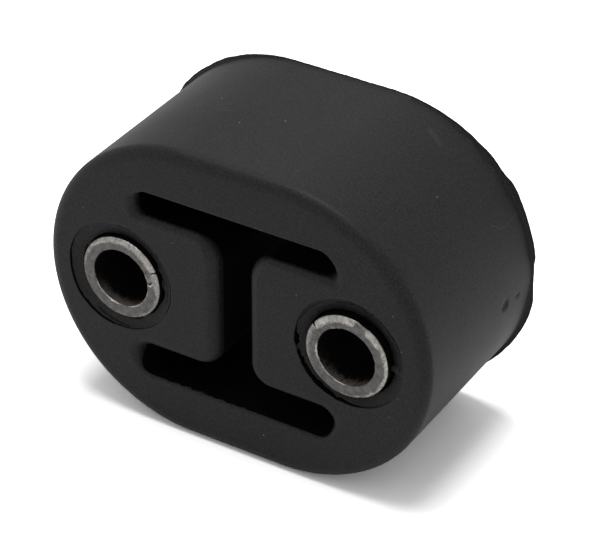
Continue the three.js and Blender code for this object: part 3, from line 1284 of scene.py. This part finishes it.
@dataclass
class RolledSleeve:
    """A steel sleeve rolled from strip, with broken edges and an open seam, in mm."""

    side: Side
    centre_x: float
    end: SleeveEnd
    painted_bore_light: StopTable
    end_wear: EndWear = EndWear()
    bore_radius: float = 5.1
    radius: float = 7.275
    block_depth: float = 34.0
    middle_z: float = 26.5
    proud: float = 0.3
    edge_width: float = 0.8
    edge_drop: float = 0.42
    # Share of the drop that the edge keeps where it is hardly broken
    least_drop: float = 0.35
    edge_dent: float = 0.05
    inner_edge: float = 0.16
    inner_burr: float = 0.25
    face_dent: float = 0.01
    face_limits: tuple[float, float] = (-0.015, 0.03)
    # Powers that flatten the round of the broken edge
    edge_fullness: tuple[float, float] = (0.9, 0.85)
    inner_steps: tuple[float, ...] = (0.0, 0.35, 0.75)
    face_rows: int = 18
    edge_rows: int = 8
    seam_fade: float = 16.0
    # Share of the wall's thickness over which the mouth of the seam opens outwards
    mouth: tuple[float, float] = (0.5, 1.0)
    near_rows: tuple[float, ...] = (0.3, 0.6, 1.0, 1.5, 2.1, 2.8, 4.0, 8.0)
    wall_rows: tuple[float, ...] = (0.15, 0.5, 0.85)
    wall_inset: float = 1.0
    columns: int = 540
    sharp_angle: float = 40.0

    def face_light(self, radius: np.ndarray, degrees: np.ndarray) -> np.ndarray:
        """Tells how bright the end face is worn at points, at the rim, with a highlight painted along parts
        of the inner edge.

        Args:
            radius: Distance of the points from the axis.
            degrees: Angle of the points.

        Returns:
            Wear and painted highlight from 0 to 1.
        """
        cos, sin = direction(degrees)
        x, z, wear = radius * cos, radius * sin, self.end_wear
        coarse = RandomWaves(seed=self.end.seed + 2, shortest=0.6, longest=2.5).at(x, z)
        fine = RandomWaves(seed=self.end.seed + 3, shortest=0.25, longest=0.7).at(x, z)
        width = self.end.rim_width.at(degrees)
        border = self.radius - width + wear.wander * coarse
        soft = np.minimum(wear.softest, wear.soft_share * width)
        outer = np.clip((radius + wear.fray * fine - border + soft) / (2 * soft), 0.0, 1.0)
        mottled = 1 + wear.mottle * coarse + wear.fine_mottle * fine
        level = np.clip(self.end.rim_light.at(degrees) * mottled, 0.0, 1.0)
        # Painted highlight: bright bare metal drawn along the inner edge where it faces the light
        reach = self.end.painted_inner_highlight.at(degrees)
        in_from_bore = radius - self.bore_radius + wear.inner_fray * fine
        inner = smooth_step(reach + wear.inner_softness, reach - wear.inner_softness, in_from_bore)
        return np.maximum(outer * level, inner * smooth_step(*wear.inner_reach, reach))

    def end_rows(self, degrees: np.ndarray) -> list[tuple[np.ndarray, np.ndarray, Skin]]:
        """Rows from the bore mouth over the end face to the outer wall.

        Args:
            degrees: Angle of each column.

        Returns:
            Radius and depth behind the end face for each row, with the finish that follows it.
        """
        cos, sin = direction(degrees)
        dents = RandomWaves(seed=self.end.seed, shortest=0.8, longest=4.0)
        burrs = RandomWaves(seed=self.end.seed + 1, shortest=0.4, longest=1.5)
        dented = 1 + self.edge_dent * dents.at(self.radius * cos, self.radius * sin)
        share = self.end.edge_share.at(degrees)
        width = self.edge_width * share * dented
        drop = self.edge_drop * (self.least_drop + (1 - self.least_drop) * share) * dented
        burred = 1 + self.inner_burr * burrs.at(self.bore_radius * cos, self.bore_radius * sin)
        inner = self.inner_edge * burred
        rows: list[tuple[np.ndarray, np.ndarray, Skin]] = []
        for t in self.inner_steps:
            angle = t * math.pi / 2
            over = self.bore_radius + inner * (1 - math.cos(angle))
            rows.append((over, inner * (1 - math.sin(angle)), Skin.MAIN))
        start, end = self.bore_radius + inner, self.radius - width
        for t in np.linspace(0, 1, self.face_rows):
            radius = start + (end - start) * t
            lump = self.face_dent * dents.at(radius * cos, radius * sin) * math.sin(math.pi * t)
            rows.append((radius, np.clip(lump, *self.face_limits), Skin.MAIN))
        outward, inward = self.edge_fullness
        for t in np.linspace(0, 1, self.edge_rows + 1)[1:]:
            angle = t * math.pi / 2
            over = end + width * math.sin(angle) ** outward
            rows.append((over, drop * (1 - math.cos(angle)) ** inward, Skin.MAIN))
        rows[-1] = (self.radius + 0 * width, rows[-1][1], Skin.WALL)
        return rows

    def build(self, finishes: list[bpy.types.Material]) -> bpy.types.Object:
        """Builds the sleeve and sets it in place of its solid.

        Args:
            finishes: Finishes of the end face, the bore and the outer wall, in the order of Skin.

        Returns:
            The sleeve.
        """
        turn = np.linspace(0, FULL_TURN, self.columns)
        total = self.block_depth + 2 * self.proud
        flat = np.ones(self.columns)
        ends = self.end_rows(self.end.seam + turn)
        along = [total - depth for depth in self.near_rows] + list(reversed(self.near_rows))
        loop = [(self.bore_radius * flat, depth * flat, Skin.INNER) for depth in along]
        loop += ends
        for t in self.wall_rows:
            depth = self.wall_inset + (total - 2 * self.wall_inset) * t
            loop.append((self.radius * flat, depth * flat, Skin.WALL))
        backward = list(reversed(ends))
        for i, (r, d, _) in enumerate(backward):
            skin = backward[i + 1][2] if i + 1 < len(backward) else Skin.INNER
            loop.append((r, total - d, skin))
        loop.append(loop[0])
        radius = np.array([r for r, _, _ in loop])
        depth = np.array([d for _, d, _ in loop])
        angles = self.column_angles(radius, turn)
        cos, sin = direction(angles)
        x, z = self.centre_x + radius * cos, radius * sin
        inward = np.minimum(depth, total - depth)
        # Bore points take painted light near the mouth; end-face points take their wear and the painted
        # highlight of the inner edge
        wear = np.where(
            radius < self.bore_radius + ROUNDING,
            self.painted_mouth_light(radius, angles, depth, inward),
            self.face_light(radius, angles),
        )
        maker = MeshMaker(-self.block_depth / 2 - self.proud, self.middle_z)
        skins = np.array([[int(skin)] for _, _, skin in loop[:-1]])
        maker.grid(x, depth, z, wrap=False, skin=skins, wear=wear)
        # The faces of the open seam take the near-black wall finish, painted shade in the gap
        for column in (0, -1):
            maker.cap(x[:-1, column], depth[:-1, column], z[:-1, column], Skin.WALL)
        sleeve = maker.finish(f"{self.side.value}_rolled", finishes, self.sharp_angle)
        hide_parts(self.side.value)
        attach(sleeve, ROOT_BODY)
        return sleeve

    def column_angles(self, radius: np.ndarray, turn: np.ndarray) -> np.ndarray:
        """Angles of the points, which leave the seam open and follow its path beside it.

        Args:
            radius: Radius of the points, rows by columns.
            turn: How far each column lies round from the seam, in degrees.

        Returns:
            The angle of each point in degrees.
        """
        through = (radius - self.bore_radius) / (self.radius - self.bore_radius)
        gap = self.end.seam_gap + self.end.seam_mouth * smooth_step(*self.mouth, through)
        half = np.degrees(gap / radius)
        closeness = 1 - smooth_step(0.0, self.seam_fade, np.minimum(turn, FULL_TURN - turn))
        bend = self.end.seam_path.at(radius) * closeness
        return self.end.seam + half + (FULL_TURN - 2 * half) * turn / FULL_TURN + bend

    def painted_mouth_light(
        self, radius: np.ndarray, degrees: np.ndarray, depth: np.ndarray, inward: np.ndarray
    ) -> np.ndarray:
        """Tells how much painted light points of the bore near its mouth get: full at the mouth, fading to
        painted shade deeper in.

        Args:
            radius: Distance of the points from the axis.
            degrees: Angle of the points.
            depth: Depth of the points behind the front end.
            inward: Depth of the points behind the nearer end.

        Returns:
            Painted light from 0 to 1.
        """
        # The waves only fray the border of the painted light; no dust is drawn
        dust = RandomWaves(seed=self.end.seed + 4, shortest=0.5, longest=2.5)
        moved = inward + self.end_wear.bore_fray * dust.at(radius * np.radians(degrees), depth)
        return smooth_step(*self.end_wear.bore_depth, moved) * self.painted_bore_light.at(degrees)


# Studio


@dataclass(frozen=True)
class StudioCamera:
    """The camera, placed about the middle of the block's front face: degrees and mm."""

    azimuth: float = 31.1364
    elevation: float = 33.6855
    roll: float = 0.2877
    distance: float = 404.73
    right: float = 10.6606
    up: float = 6.9654
    lens: float = 156.0
    sensor: float = 36.0
    front_y: float = -17.0
    middle_z: float = 26.5
    # Nearest and farthest distance that it sees, in metres
    clip: tuple[float, float] = (0.01, 20.0)

    def build(self) -> bpy.types.Object:
        """Makes the camera and gives it to the scene.

        Returns:
            The camera object.
        """
        a, e, r = (math.radians(v) for v in (self.azimuth, self.elevation, self.roll))
        back = Vector((math.sin(a) * math.cos(e), -math.cos(a) * math.cos(e), math.sin(e)))
        side = Vector((math.cos(a), math.sin(a), 0))
        up = back.cross(side)
        turned = math.cos(r) * side + math.sin(r) * up
        upright = -math.sin(r) * side + math.cos(r) * up
        place = Vector((0, self.front_y, self.middle_z))
        place += back * self.distance + turned * self.right + upright * self.up
        data = bpy.data.cameras.new("studio_camera")
        data.lens = self.lens
        data.sensor_width = self.sensor
        data.clip_start, data.clip_end = self.clip
        camera = bpy.data.objects.new("studio_camera", data)
        turn = Matrix((turned, upright, back)).transposed()
        camera.matrix_world = Matrix.Translation(place * MM) @ turn.to_4x4()
        bpy.context.scene.collection.objects.link(camera)
        bpy.context.scene.camera = camera
        return camera


@dataclass(frozen=True)
class Studio:
    """A white floor and surround, with one softbox high above the left end: metres and watts."""

    floor_size: float = 6.0
    floor_colour: float = 0.8
    mirrored_floor_colour: float = 1.25
    seen_floor_colour: float = 2.0
    surround: float = 0.42
    mirrored_surround: float = 0.91
    seen_surround: float = 1.0
    lamp_size: float = 0.42
    lamp_watts: float = 4.1
    lamp_place: tuple[float, float, float] = (-0.035, 0.01, 0.85)

    def build(self) -> None:
        """Makes the floor, the lamp and the world."""
        self.make_floor()
        self.make_lamp()
        self.make_world()
        bpy.context.scene.view_settings.view_transform = "Standard"

    @staticmethod
    def level(tree: bpy.types.NodeTree, unseen: float, mirrored: float, seen: float) -> bpy.types.NodeSocket:
        """Gives one level to rays that show a surface or a background and another to the light.

        Args:
            tree: Node tree of the floor or the world.
            unseen: Level for the light that the surface gives.
            mirrored: Level for what a gloss or a glass shows.
            seen: Level for what the eye shows.

        Returns:
            The level.
        """
        path = add_node(tree, "ShaderNodeLightPath")
        either = {0: path.outputs["Is Glossy Ray"], 1: path.outputs["Is Transmission Ray"]}
        gloss = add_node(tree, "ShaderNodeMath", either, operation="MAXIMUM").outputs[0]
        ends = {"Value": gloss, "To Min": unseen, "To Max": mirrored}
        shown = add_node(tree, "ShaderNodeMapRange", ends).outputs["Result"]
        ends = {"Value": path.outputs["Is Camera Ray"], "To Min": shown, "To Max": seen}
        return add_node(tree, "ShaderNodeMapRange", ends).outputs["Result"]

    def make_floor(self) -> None:
        """Makes the floor, which keeps the shadow and is white to the eye where it is in full light."""
        mesh = bpy.data.meshes.new("studio_floor")
        half = self.floor_size / 2
        corners = [(-half, -half, 0), (half, -half, 0), (half, half, 0), (-half, half, 0)]
        mesh.from_pydata(corners, [], [(0, 1, 2, 3)])
        floor = bpy.data.objects.new("studio_floor", mesh)
        bpy.context.scene.collection.objects.link(floor)
        material = bpy.data.materials.new("studio_paper_white")
        material.use_nodes = True
        tree = material.node_tree
        tree.nodes.clear()
        shown = self.level(tree, self.floor_colour, self.mirrored_floor_colour, self.seen_floor_colour)
        paper = add_node(tree, "ShaderNodeBsdfDiffuse", {"Color": shown})
        add_node(tree, "ShaderNodeOutputMaterial", {"Surface": paper.outputs["BSDF"]})
        mesh.materials.append(material)

    def make_lamp(self) -> None:
        """Makes the softbox, which also lights the front edge through its gloss."""
        data = bpy.data.lights.new("key_softbox", "AREA")
        data.shape = "SQUARE"
        data.size = self.lamp_size
        data.energy = self.lamp_watts
        lamp = bpy.data.objects.new("key_softbox", data)
        lamp.location = Vector(self.lamp_place)
        lamp.rotation_euler = (-lamp.location).to_track_quat("-Z", "Y").to_euler()
        bpy.context.scene.collection.objects.link(lamp)

    def make_world(self) -> None:
        """Makes the surround: white to the eye and in reflections, a plain level as light."""
        world = bpy.data.worlds.new("studio_surround")
        bpy.context.scene.world = world
        world.use_nodes = True
        tree = world.node_tree
        tree.nodes.clear()
        shown = self.level(tree, self.surround, self.mirrored_surround, self.seen_surround)
        light = add_node(tree, "ShaderNodeBackground", {"Color": WHITE, "Strength": shown})
        add_node(tree, "ShaderNodeOutputWorld", {"Surface": light.outputs["Background"]})


# Shapes and marks of this hanger

# Places in mm that the marks and the sleeves are set by
SLEEVE_PITCH = 41.5
FRONT_Y = -17.0
FRONT_SLEEVE_Y = -17.3
MIDDLE_Z = 26.5

# Reach of the flash lip by angle round the two ends, in mm
LIP_TRIM = StopTable(
    (
        (-75, 0.3), (-45, 0.72), (-24, 0.8), (-15, 0.94), (-9, 0.86), (-4, 0.45), (0, 0.34), (3, 0.36),
        (6, 0.48), (9, 0.8), (21, 0.82), (30, 1.02), (34, 1.2), (37, 1.15), (39, 0.86), (42, 0.68),
        (48, 0.86), (54, 0.64), (66, 0.52), (78, 0.36), (90, 0.28), (96, 0.34), (108, 0.48),
        (123, 0.72), (129, 0.68), (144, 0.96), (152, 0.7), (180, 0.45), (240, 0.4), (262, 0.2),
    )
)
PITS = (
    Pit(depth=24.8, height=0.06, half_depth=1.05, half_height=0.85, sink=0.34),
    Pit(depth=29.1, height=-0.5, half_depth=0.6, half_height=0.36, sink=0.26),
)


def seat_rings() -> list[SeatRing]:
    """Gives the shapes of the two dished rings.

    Returns:
        The left ring and the right ring.
    """
    left = SeatRing(
        centre_x=-SLEEVE_PITCH / 2,
        rim_shift=(-0.3, 0.1),
        rim_radius=9.75,
        rim_bulge=StopTable(((190, 0.0), (215, 0.35), (245, 0.35), (268, 0.0), (300, -0.1), (350, 0.0))),
        crack_width=StopTable(
            (
                (0, 0.07), (40, 0.05), (90, 0.05), (150, 0.06), (163, 0.12), (178, 0.22), (200, 0.2),
                (225, 0.24), (240, 0.22), (252, 0.16), (270, 0.11), (285, 0.05), (330, 0.05),
            )
        ),
        inner_gap=StopTable(
            (
                (-50, 0.12), (-38, 0.3), (-28, 0.12), (-17, 0.3), (-10, 0.62), (0, 0.62), (6, 0.08),
                (12, 0.2), (18, 0.55), (24, 0.3), (29, 0.1), (33, 0.4), (38, 0.35), (42, 0.16), (60, 0.2),
                (90, 0.16), (120, 0.2), (150, 0.2), (165, 0.08), (180, 0.03), (260, 0.02),
            )
        ),
        floor_depth=StopTable(
            (
                (-30, 0.7), (-14, 0.8), (6, 0.45), (14, 0.8), (26, 0.6), (34, 0.95), (50, 1.0), (170, 1.0),
                (260, 0.85),
            )
        ),
        lumps=LumpyPatch(x=-14.0, z=6.8, reach=1.7, height=0.07),
        lines=(
            RingLine(9.3, 232.0, 282.0, 0.09, 0.3),
            RingLine(9.25, 330.0, 30.0, 0.07, 0.2),
            RingLine(9.1, 95.0, 150.0, 0.09, 0.05),
            RingLine(9.4, 20.0, 100.0, 0.07, 0.2),
            RingLine(8.5, 340.0, 50.0, 0.09, 0.14),
            RingLine(8.0, 5.0, 65.0, 0.08, 0.12),
            RingLine(7.6, 150.0, 300.0, 0.2, 0.35),
        ),
        seed=31,
    )
    right = SeatRing(
        centre_x=SLEEVE_PITCH / 2,
        rim_shift=(0.4, 0.7),
        rim_radius=9.6,
        rim_bulge=StopTable(((170, 0.0), (182, 0.25), (190, 0.0), (230, 0.2), (260, 0.0))),
        crack_width=StopTable(
            (
                (0, 0.05), (22, 0.1), (36, 0.3), (60, 0.46), (82, 0.4), (98, 0.22), (112, 0.06), (160, 0.06),
                (172, 0.2), (179, 0.7), (184, 0.55), (188, 0.08), (191, 0.1), (195, 0.4), (215, 0.42),
                (232, 0.5), (248, 0.42), (262, 0.32), (278, 0.2), (292, 0.08), (330, 0.05),
            )
        ),
        inner_gap=StopTable(
            (
                (-50, 0.05), (-40, 0.2), (-20, 0.45), (-8, 0.62), (-4, 0.55), (-1, 0.05), (4, 0.06),
                (8, 0.4), (14, 0.3), (35, 0.42), (60, 0.3), (90, 0.25), (120, 0.25), (150, 0.2),
                (165, 0.08), (180, 0.04), (260, 0.02),
            )
        ),
        floor_depth=StopTable(
            ((-40, 1.1), (-6, 1.3), (1, 0.6), (8, 1.35), (30, 1.5), (160, 1.45), (200, 1.3), (300, 1.2))
        ),
        lumps=LumpyPatch(x=28.3, z=6.6, reach=1.6, height=0.06),
        lines=(
            RingLine(9.5, 20.0, 95.0, 0.07, 0.22),
            RingLine(9.0, 350.0, 60.0, 0.09, 0.16),
            RingLine(9.85, 15.0, 70.0, 0.07, 0.2),
            RingLine(9.2, 60.0, 110.0, 0.07, 0.22),
            RingLine(9.3, 110.0, 160.0, 0.08, 0.15),
            RingLine(9.0, 280.0, 330.0, 0.1, 0.06),
            RingLine(7.6, 190.0, 290.0, 0.2, 0.3),
        ),
        seed=41,
    )
    return [left, right]


def sleeves() -> list[RolledSleeve]:
    """Gives both sleeves, ready to build.

    Returns:
        The left sleeve and the right sleeve.
    """
    # Angles round the bore that get painted light at the mouth: the lower wall, where light from above would
    # fall in
    painted_bore_light = StopTable(
        ((180, 0.0), (200, 0.15), (235, 0.8), (270, 1.0), (300, 0.7), (330, 0.2), (350, 0.0))
    )
    left = SleeveEnd(
        seam=25.0,
        seam_path=StopTable(
            ((5.1, 0.0), (5.5, 3.0), (5.95, 4.2), (6.4, 0.2), (6.8, 1.0), (7.3, -0.6)), None
        ),
        seam_gap=0.03,
        seam_mouth=0.09,
        edge_share=StopTable(((0, 1.0), (90, 1.05), (180, 0.95), (270, 0.8))),
        rim_width=StopTable(
            (
                (-60, 0.35), (-12, 0.4), (2, 0.95), (26, 1.0), (60, 0.85), (120, 0.85), (140, 0.7),
                (170, 0.65), (185, 0.32), (230, 0.3), (270, 0.4),
            )
        ),
        rim_light=StopTable(
            (
                (-60, 0.7), (-12, 0.65), (2, 0.55), (26, 0.65), (34, 0.95), (60, 0.95), (90, 0.75),
                (120, 0.75), (150, 0.6), (172, 0.5), (190, 0.25), (230, 0.25), (270, 0.5),
            )
        ),
        # Painted highlight along the inner edge, by angle
        painted_inner_highlight=StopTable(
            (
                (30, 0.0), (196, 0.0), (204, 0.1), (240, 0.09), (250, 0.2), (262, 0.12), (272, 0.0),
                (282, 0.04), (296, 0.2), (312, 0.16), (322, 0.06), (335, 0.16), (352, 0.16), (4, 0.0),
            )
        ),
        seed=51,
    )
    right = SleeveEnd(
        seam=144.0,
        seam_path=StopTable(((5.1, 3.0), (6.2, 1.5), (7.3, 0.0)), None),
        seam_gap=0.012,
        seam_mouth=0.2,
        edge_share=StopTable(
            (
                (0, 1.0), (58, 1.05), (63, 0.5), (72, 0.45), (76, 1.0), (140, 1.1), (245, 1.0),
                (252, 0.5), (262, 1.0),
            )
        ),
        rim_width=StopTable(
            (
                (-90, 0.42), (-20, 0.45), (20, 0.5), (33, 0.6), (36, 1.0), (58, 1.05), (62, 0.3),
                (76, 0.3), (80, 1.1), (143, 1.1), (150, 0.75), (180, 0.75), (225, 0.5), (262, 0.35),
            )
        ),
        rim_light=StopTable(
            (
                (-90, 1.0), (-20, 1.0), (30, 0.9), (36, 1.0), (57, 1.0), (62, 0.35), (76, 0.35), (80, 1.0),
                (143, 1.0), (150, 0.55), (180, 0.6), (225, 0.45), (246, 0.1), (262, 0.1), (266, 0.8),
            )
        ),
        # Painted highlight along the inner edge, by angle
        painted_inner_highlight=StopTable(
            (
                (60, 0.0), (98, 0.0), (104, 0.18), (110, 0.08), (118, 0.2), (124, 0.0), (168, 0.0),
                (178, 0.3), (198, 0.28), (206, 0.08), (228, 0.12), (240, 0.07), (262, 0.1), (275, 0.04),
                (285, 0.0),
            )
        ),
        seed=61,
    )
    return [
        RolledSleeve(Side.LEFT, -SLEEVE_PITCH / 2, left, painted_bore_light),
        RolledSleeve(Side.RIGHT, SLEEVE_PITCH / 2, right, painted_bore_light),
    ]


@dataclass(frozen=True)
class Paint:
    """What a mark is drawn with: its width in mm, its colour and its strength in the middle."""

    width: float
    colour: str
    strength: float

    def between(self, start: tuple[float, float, float], end: tuple[float, float, float]) -> Streak:
        """Gives a mark between two points of the frame."""
        return Streak(start, end, self.width, self.colour, self.strength)

    def on_face(self, start: tuple[float, float], end: tuple[float, float], y: float) -> Streak:
        """Gives a mark on a flat face that looks to the front.

        Args:
            start: Start as x and height above the block's middle, in mm.
            end: End in the same way.
            y: Place of the face along Y.

        Returns:
            The mark.
        """
        return self.between((start[0], y, start[1] + MIDDLE_Z), (end[0], y, end[1] + MIDDLE_Z))


def rubber_streaks() -> tuple[Streak, ...]:
    """Gives the specks, hairlines and smears on the rubber.

    Returns:
        The marks, drawn over each other in this order.
    """
    pale, dark = "#8f8f8c", "#020202"
    speck, lint, dust = Paint(0.16, pale, 0.6), Paint(0.16, pale, 0.45), Paint(0.18, pale, 0.9)
    painted_pit_shade, nick = Paint(0.2, dark, 1.0), Paint(0.12, dark, 0.9)
    hairline, smear, scuff = Paint(0.14, pale, 0.08), Paint(0.9, pale, 0.04), Paint(0.2, pale, 0.08)
    specks = (
        (-27.6, 10.9), (-10.8, 9.9), (28.6, 10.3), (28.4, -8.5), (29.8, -4.6), (11.8, 8.2), (5.4, 17.7),
    )
    marks = [speck.on_face(at, at, FRONT_Y) for at in specks]
    marks.append(lint.on_face((29.9, 3.8), (30.2, 4.4), FRONT_Y))
    # A dark dot painted as the shade inside a tiny pit in the face
    marks.append(painted_pit_shade.on_face((5.1, 0.85), (5.1, 0.85), FRONT_Y))
    marks.append(nick.on_face((-30.8, 0.5), (-31.6, -0.4), FRONT_Y))
    for at in ((25.46, 1.62, 46.84), (-13.26, 1.46, 52.57), (-0.65, 0.0, 53.0), (-6.44, -4.08, 53.0)):
        marks.append(dust.between(at, at))
    bend = ((31.34, 8.63, 39.93), (32.23, 10.86, 38.28), (32.2, 13.6, 38.2), (32.17, 16.04, 38.4))
    flow = ((-21.0, -1.1, 49.85), (-15.9, -1.6, 51.9), (-11.3, -2.1, 52.84), (-9.0, -1.7, 53.0))
    for path in (bend, flow):
        marks += [hairline.between(start, end) for start, end in zip(path, path[1:])]
    marks.append(smear.between((18.3, 12.2, 51.1), (20.8, 10.8, 49.9)))
    marks.append(scuff.between((22.7, 16.3, 48.9), (27.8, 16.1, 44.7)))
    return tuple(marks)


def steel_streaks() -> tuple[Streak, ...]:
    """Gives the cracks, painted glints and stains on the end faces of the sleeves.

    Returns:
        The marks, drawn over each other in this order.
    """
    dark, grey, pale, bright = "#1b1917", "#4a4744", "#8b8884", "#e4e1dc"
    crack = Paint(0.2, dark, 0.9)
    left, right = -SLEEVE_PITCH / 2, SLEEVE_PITCH / 2
    # The bright strokes near the crack and the seam, and the bright dot on the inner edge, are painted
    # glints: highlights drawn into the colour
    marks = (
        (left, (5.0, 1.25), (6.3, 1.9), Paint(0.7, pale, 0.5)),
        (left, (5.2, 0.45), (5.75, 0.4), Paint(0.2, bright, 0.5)),
        (left, (5.75, 0.4), (6.2, 0.9), Paint(0.2, bright, 0.4)),
        (left, (5.1, 0.8), (5.6, 0.75), crack),
        (left, (5.6, 0.75), (5.95, 1.15), crack),
        (left, (4.7, 2.0), (4.9, 1.75), Paint(0.2, bright, 0.6)),
        (left, (4.6, 2.6), (5.3, 3.2), Paint(0.22, grey, 0.5)),
        # Painted glint on the inner edge of the left sleeve
        (left, (-1.9, -4.9), (-1.85, -4.9), Paint(0.16, bright, 1.0)),
        (right, (-4.9, 3.3), (-4.2, 3.0), Paint(0.4, grey, 0.35)),
        (right, (-2.9, -6.5), (-1.2, -6.7), Paint(0.35, grey, 0.4)),
    )
    return tuple(
        paint.on_face((centre + start[0], start[1]), (centre + end[0], end[1]), FRONT_SLEEVE_Y)
        for centre, start, end, paint in marks
    )


# End face: sheared dull and mottled, with its tumbled edge and its burrs worn to bare bright metal, and a
# highlight painted along parts of the inner edge.
END_FACE = SteelFinish(
    name="carbon_steel_sheared_face",
    colour="#514f4e",
    stain="#656362",
    worn="#8c8985",
    fleck="#b0ada8",
    roughness=0.5,
    worn_roughness=0.36,
    metallic=1.0,
    grain_mm=0.17,
    grain_depth_mm=0.022,
    speckle=0.3,
)
# Rolled bore: mill scale, painted a lit brown near the mouth where light would fall in and near-black as
# painted shade further in.
MILL_SCALE_AND_PAINTED_LIGHT = SteelFinish(
    name="carbon_steel_mill_scale_painted_light",
    colour="#060505",
    stain="#0a0807",
    worn="#625954",
    fleck="#746a65",
    roughness=0.7,
    worn_roughness=0.55,
    metallic=0.3,
    grain_mm=0.2,
    grain_depth_mm=0.02,
    specular=0.1,
    streaks=(Streak((19.75, -16.55, 21.51), (19.75, -16.55, 21.51), 0.35, "#040303", 1.0),),
)
# Bonding coat on the outer wall: matt and near-black with almost no gloss, also as painted shade, so the
# seam to the rubber reads as a dark line.
BONDING_COAT_PAINTED_SHADE = SteelFinish(
    name="carbon_steel_bonding_coat_painted_shade",
    colour="#050505",
    stain="#090706",
    worn="#0b0908",
    fleck="#0e0c0b",
    roughness=0.85,
    worn_roughness=0.8,
    metallic=0.0,
    grain_mm=0.15,
    grain_depth_mm=0.01,
    specular=0.05,
)


def main() -> None:
    """Builds the studio and the hanger, piece by piece."""
    logging.basicConfig(level=logging.INFO, format="%(name)s: %(message)s")
    StudioCamera().build()
    Studio().build()
    LOG.info("studio ready")
    moulded = MouldedRubber(streaks=rubber_streaks())
    rubber = [finish.make() for finish in (moulded, SHADE_PAINTED_RUBBER, SEAT_RUBBER)]
    block = RubberBlock(FlashLip(LIP_TRIM), seat_rings(), PITS)
    LOG.info("block %s ready", block.build(rubber).name)
    end_face = replace(END_FACE, streaks=steel_streaks())
    finishes = [finish.make() for finish in (end_face, MILL_SCALE_AND_PAINTED_LIGHT, BONDING_COAT_PAINTED_SHADE)]
    for sleeve in sleeves():
        LOG.info("sleeve %s ready", sleeve.build(finishes).name)


if __name__ == "__main__":
    main()
